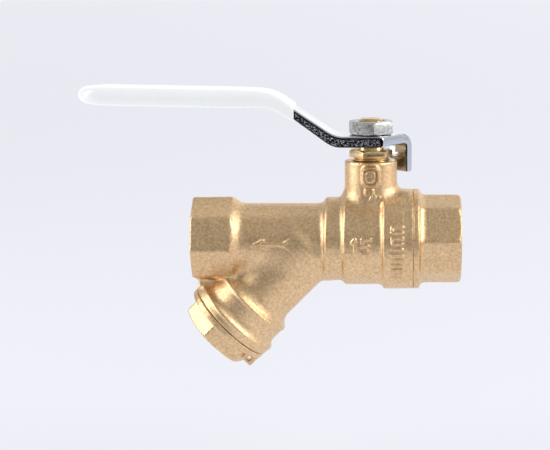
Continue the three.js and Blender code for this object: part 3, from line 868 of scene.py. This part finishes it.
def ball():
    steps = [math.radians(-90 + 180 * k / 48) for k in range(49)]
    arc = [(11.2 * math.cos(a), 11.2 * math.sin(a)) for a in steps]
    arc[0], arc[-1] = (0, -11.2), (0, 11.2)
    piece = revolve("ball_sphere", arc, STEM, 112)
    carved(piece, [rod("cut_bore", 7, -14, 14, PIPE), block("cut_slot", (-2.1, -12, 8.2), (2.1, 12, 13))])
    finish_piece(softened(piece, 0.25, 3), "handle", "ball", CHROME)


def seat(name, side):
    clear = 11.3
    arc = [math.radians(44 + 4 * k) for k in range(9)]
    hollow = [(clear * math.sin(a), side * clear * math.cos(a)) for a in reversed(arc)]
    rows = [(11.5, side * 10.6), (7.6, side * 10.6)]
    inner = [(r, x) for r, x in reversed(hollow) if side * x < 10.4 and side * x > 7.9 and r > 7.6]
    profile = rows + inner + [(11.5, side * 7.9)]
    piece = revolve(name + "_ring", profile, PIPE)
    finish_piece(piece, "valve_body", name, PTFE)


def round_seals():
    for node, inner, outer, low, high in (
        ("stem_thrust_washer", 4.25, 5.35, 13.45, 14.05),
        ("packing_ring_lower", 4.15, 5.75, 16.2, 18.5),
        ("packing_ring_upper", 4.15, 5.75, 18.6, 20.9),
    ):
        piece = ring(node + "_turned", inner, outer, low, high, STEM, 0.15)
        finish_piece(piece, "valve_body", node, PTFE)
    steps = [2 * HALF_TURN * k / 16 for k in range(16)]
    wire = [(12.25 + 0.75 * math.cos(a), 12.05 + 0.75 * math.sin(a)) for a in steps]
    finish_piece(revolve("o_ring", wire, PIPE), "valve_body", "adapter_o_ring", RUBBER)
    piece = ring("cap_gasket_ring", 11.9, 13.15, 36.75, 38.25, BRANCH, 0.2)
    finish_piece(piece, "gasket", "cap_gasket", FIBRE)


def lever():
    grid = Grid((LEVER_TIP - 1.5, -8.5, 20), (14.6, 9.5, 50), LEVER_VOXEL)
    piece = skin("lever_pressing", grid, lever_field(grid), 2)
    hole = rod("cut_hole", 4.25, 28, 36, STEM)
    carved(hole, [block("keep_hole", (-6, -3.1, 27), (6, 3.1, 37))], "INTERSECT")
    finish_piece(carved(piece, [hole]), "handle", "lever", PLATED, 60)


def lever_sleeve():
    grid = Grid((SLEEVE_TIP - 1.5, -9.5, 31), (-22.5, 9.5, 52), SLEEVE_VOXEL)
    piece = skin("lever_sleeve_dipped", grid, sleeve_field(grid), 5)
    finish_piece(piece, "handle", "lever_sleeve", VINYL, 60)


SCREEN_RADIUS = 7.8
SCREEN_SHEET = 0.45
SCREEN_ENDS = (3.2, 37.2)
SCREEN_BAND = 1.6
HOLES_AROUND = 40
HOLE_PITCH = 1.22  # along the sheet
HOLE_RADIUS = 0.31  # as a share of the width of one cell
CELL_CORNERS = (
    (-0.5, -0.5), (0, -0.5), (0.5, -0.5), (0.5, 0),
    (0.5, 0.5), (0, 0.5), (-0.5, 0.5), (-0.5, 0),
)


class Sheet:
    """The screen's rolled sheet. A place on it is a number of holes round it and millimetres along it."""

    def __init__(self):
        self.work = bmesh.new()
        self.shared = {}

    def new_vertex(self, turns, place):
        angle = turns * 2 * HALF_TURN / HOLES_AROUND
        spot = Vector((SCREEN_RADIUS * math.cos(angle), SCREEN_RADIUS * math.sin(angle), place))
        return self.work.verts.new(BRANCH @ spot)

    def vertex(self, turns, place):
        """The vertex that neighbouring cells share."""
        key = (round(turns * 48) % (HOLES_AROUND * 48), round(place * 1000))
        if key not in self.shared:
            self.shared[key] = self.new_vertex(turns, place)
        return self.shared[key]

    def cell(self, turns, place, step):
        """One square of sheet with a round hole in it."""
        outside, inside = [], []
        for u, v in CELL_CORNERS:
            outside.append(self.vertex(turns + u, place + v * step))
            reach = HOLE_RADIUS / math.hypot(u, v)
            inside.append(self.new_vertex(turns + u * reach, place + v * reach * step * 1.12))
        for k in range(len(CELL_CORNERS)):
            n = (k + 1) % len(CELL_CORNERS)
            self.work.faces.new((outside[k], outside[n], inside[n], inside[k]))

    def band(self, start, end):
        for k in range(2 * HOLES_AROUND):
            a, b = k / 2, (k + 1) / 2
            corners = ((a, start), (b, start), (b, end), (a, end))
            self.work.faces.new([self.vertex(*corner) for corner in corners])

    def piece(self, name):
        bmesh.ops.recalc_face_normals(self.work, faces=self.work.faces)
        mesh = bpy.data.meshes.new(name)
        self.work.to_mesh(mesh)
        self.work.free()
        mesh.transform(Matrix.Scale(MM, 4) @ Matrix.Translation((STEM_X, 0, 0)))
        made = bpy.data.objects.new(name, mesh)
        bpy.context.scene.collection.objects.link(made)
        thicken = made.modifiers.new("thickness", "SOLIDIFY")
        thicken.thickness, thicken.offset = SCREEN_SHEET * MM, 0
        return applied(made)


def strainer_screen():
    """A tube of staggered round holes with a plain band at each end, and the ring at its mouth."""
    low, high = SCREEN_ENDS
    length = high - low - 2 * SCREEN_BAND
    rows = int(length / (HOLE_PITCH * 0.87))
    step = length / rows
    sheet = Sheet()
    for row in range(rows):
        shift = 0.5 * (row % 2)
        for column in range(HOLES_AROUND):
            sheet.cell(column + shift, low + SCREEN_BAND + (row + 0.5) * step, step)
    sheet.band(low, low + SCREEN_BAND)
    sheet.band(high - SCREEN_BAND, high)
    finish_piece(sheet.piece("screen_sheet"), "screen", "strainer_screen", STAINLESS)
    rim = ring("screen_rim", 6.9, 7.95, 2.2, 3.1, BRANCH, 0.25)
    finish_piece(rim, "screen", "screen_end_ring", STAINLESS)


# ---------- Stage ----------

CAMERA_AZIMUTH = math.radians(4.2)
CAMERA_ELEVATION = math.radians(9.5)
CAMERA_ROLL = 0.0121
CAMERA_DISTANCE = 0.513
CAMERA_LENS = 104.7
AIM_RIGHT, AIM_UP = -0.0308, 0.0043  # from the point where the stem meets the pipe axis


def camera():
    a, e = CAMERA_AZIMUTH, CAMERA_ELEVATION
    towards = Vector((math.sin(a) * math.cos(e), -math.cos(a) * math.cos(e), math.sin(e)))
    level = Vector((math.cos(a), math.sin(a), 0))
    upright = towards.cross(level)
    right = level * math.cos(CAMERA_ROLL) - upright * math.sin(CAMERA_ROLL)
    up = upright * math.cos(CAMERA_ROLL) + level * math.sin(CAMERA_ROLL)
    aim = Vector((STEM_X * MM, 0, 0)) + right * AIM_RIGHT + up * AIM_UP
    data = bpy.data.cameras.new("camera")
    data.lens, data.sensor_width, data.clip_start = CAMERA_LENS, 36, 0.01
    seen = bpy.data.objects.new("camera", data)
    bpy.context.scene.collection.objects.link(seen)
    seen.matrix_world = Matrix.Translation(aim + towards * CAMERA_DISTANCE) @ Matrix(
        (
            (right.x, up.x, towards.x, 0),
            (right.y, up.y, towards.y, 0),
            (right.z, up.z, towards.z, 0),
            (0, 0, 0, 1),
        )
    )
    bpy.context.scene.camera = seen


def lamp(name, place, size, power, colour=(1, 1, 1)):
    """A rectangular softbox that faces the valve."""
    data = bpy.data.lights.new(name, "AREA")
    data.shape, data.size, data.size_y = "RECTANGLE", size[0], size[1]
    data.energy, data.color = power, colour
    light = bpy.data.objects.new(name, data)
    light.location = place
    target = Vector((STEM_X * MM, 0, 0.005))
    light.rotation_euler = (target - Vector(place)).to_track_quat("-Z", "Y").to_euler()
    bpy.context.scene.collection.objects.link(light)


def brightness(tree):
    """How bright the room is in each direction, from ramps along the axes of the direction."""
    place = tree.nodes.new("ShaderNodeTexCoord")
    split = tree.nodes.new("ShaderNodeSeparateXYZ")
    tree.links.new(place.outputs["Generated"], split.inputs[0])

    def ramp(axis, *span):
        node = tree.nodes.new("ShaderNodeMapRange")
        node.interpolation_type = "SMOOTHSTEP"
        for name, number in zip(RANGE_INPUTS, span):
            node.inputs[name].default_value = number
        tree.links.new(split.outputs[axis], node.inputs["Value"])
        return node.outputs["Result"]

    def combined(operation, *values):
        node = tree.nodes.new("ShaderNodeMath")
        node.operation = operation
        for value, socket in zip(values, node.inputs):
            tree.links.new(value, socket)
        return node.outputs[0]

    level = combined("MULTIPLY", ramp("Y", -1, -0.5, 0.4, 0.46), ramp("X", -0.2, 0.2, 0.8, 1.6))
    height = combined("MULTIPLY", ramp("Z", -0.1, 0.04, 0.04, 1), ramp("Z", 0.5, 0.95, 1, 0.7))
    behind = ramp("Y", 0.4, 0.95, 0, 0.42)
    return combined("MULTIPLY_ADD", level, height, behind)


def room():
    """A pale room for the metal to mirror, dim towards the camera and dark below the table's edge."""
    world = bpy.data.worlds.new("room")
    bpy.context.scene.world = world
    world.use_nodes = True
    tree = world.node_tree
    tree.nodes.clear()
    mirrored = tree.nodes.new("ShaderNodeBackground")
    mirrored.inputs["Color"].default_value = (1, 1, 1, 1)
    tree.links.new(brightness(tree), mirrored.inputs["Strength"])
    seen = tree.nodes.new("ShaderNodeBackground")
    seen.inputs["Color"].default_value = (0.845, 0.85, 0.905, 1)
    path = tree.nodes.new("ShaderNodeLightPath")
    mixed = tree.nodes.new("ShaderNodeMixShader")
    tree.links.new(path.outputs["Is Camera Ray"], mixed.inputs[0])
    tree.links.new(mirrored.outputs[0], mixed.inputs[1])
    tree.links.new(seen.outputs[0], mixed.inputs[2])
    tree.links.new(mixed.outputs[0], tree.nodes.new("ShaderNodeOutputWorld").inputs[0])


FLOOR_HALF = 3
FLOOR_FRONT = -0.28
FLOOR_DROP = 0.033  # room under the valve for drawing the cap and screen out


def floor():
    """A pale table whose near edge ends before the camera, so upright faces mirror the dark beyond."""
    work = bmesh.new()
    bmesh.ops.create_grid(work, x_segments=2, y_segments=2, size=FLOOR_HALF)
    mesh = bpy.data.meshes.new("floor")
    work.to_mesh(mesh)
    work.free()
    plane = bpy.data.objects.new("floor", mesh)
    plane.location = (0, FLOOR_HALF + FLOOR_FRONT, cad_box[0][2] - FLOOR_DROP)
    bpy.context.scene.collection.objects.link(plane)
    material = bpy.data.materials.new("pale_floor")
    material.use_nodes = True
    shader = material.node_tree.nodes["Principled BSDF"]
    shader.inputs["Base Color"].default_value = (0.2, 0.205, 0.215, 1)
    shader.inputs["Emission Color"].default_value = (0.645, 0.65, 0.705, 1)
    shader.inputs["Emission Strength"].default_value = 1.0
    shader.inputs["Roughness"].default_value = 0.6
    shader.inputs["Specular IOR Level"].default_value = 0.2
    mesh.materials.append(material)


def lighting():
    lamp("left_softbox", (-0.62, -0.1, 0.26), (0.28, 0.7), 2.6)
    lamp("right_softbox", (0.58, -0.12, 0.36), (0.28, 0.6), 2.7)
    lamp("top_softbox", (-0.03, 0.1, 0.65), (0.6, 0.4), 0.12)
    room()
    view = bpy.context.scene.view_settings
    view.view_transform, view.look, view.exposure = "Standard", "None", 0.0


camera()
floor()
lighting()
valve_body()
end_adapter()
strainer_cap()
gland_nut()
lever_nut()
stem()
ball()
seat("seat_inlet", 1)
seat("seat_outlet", -1)
round_seals()
lever()
lever_sleeve()
strainer_screen()
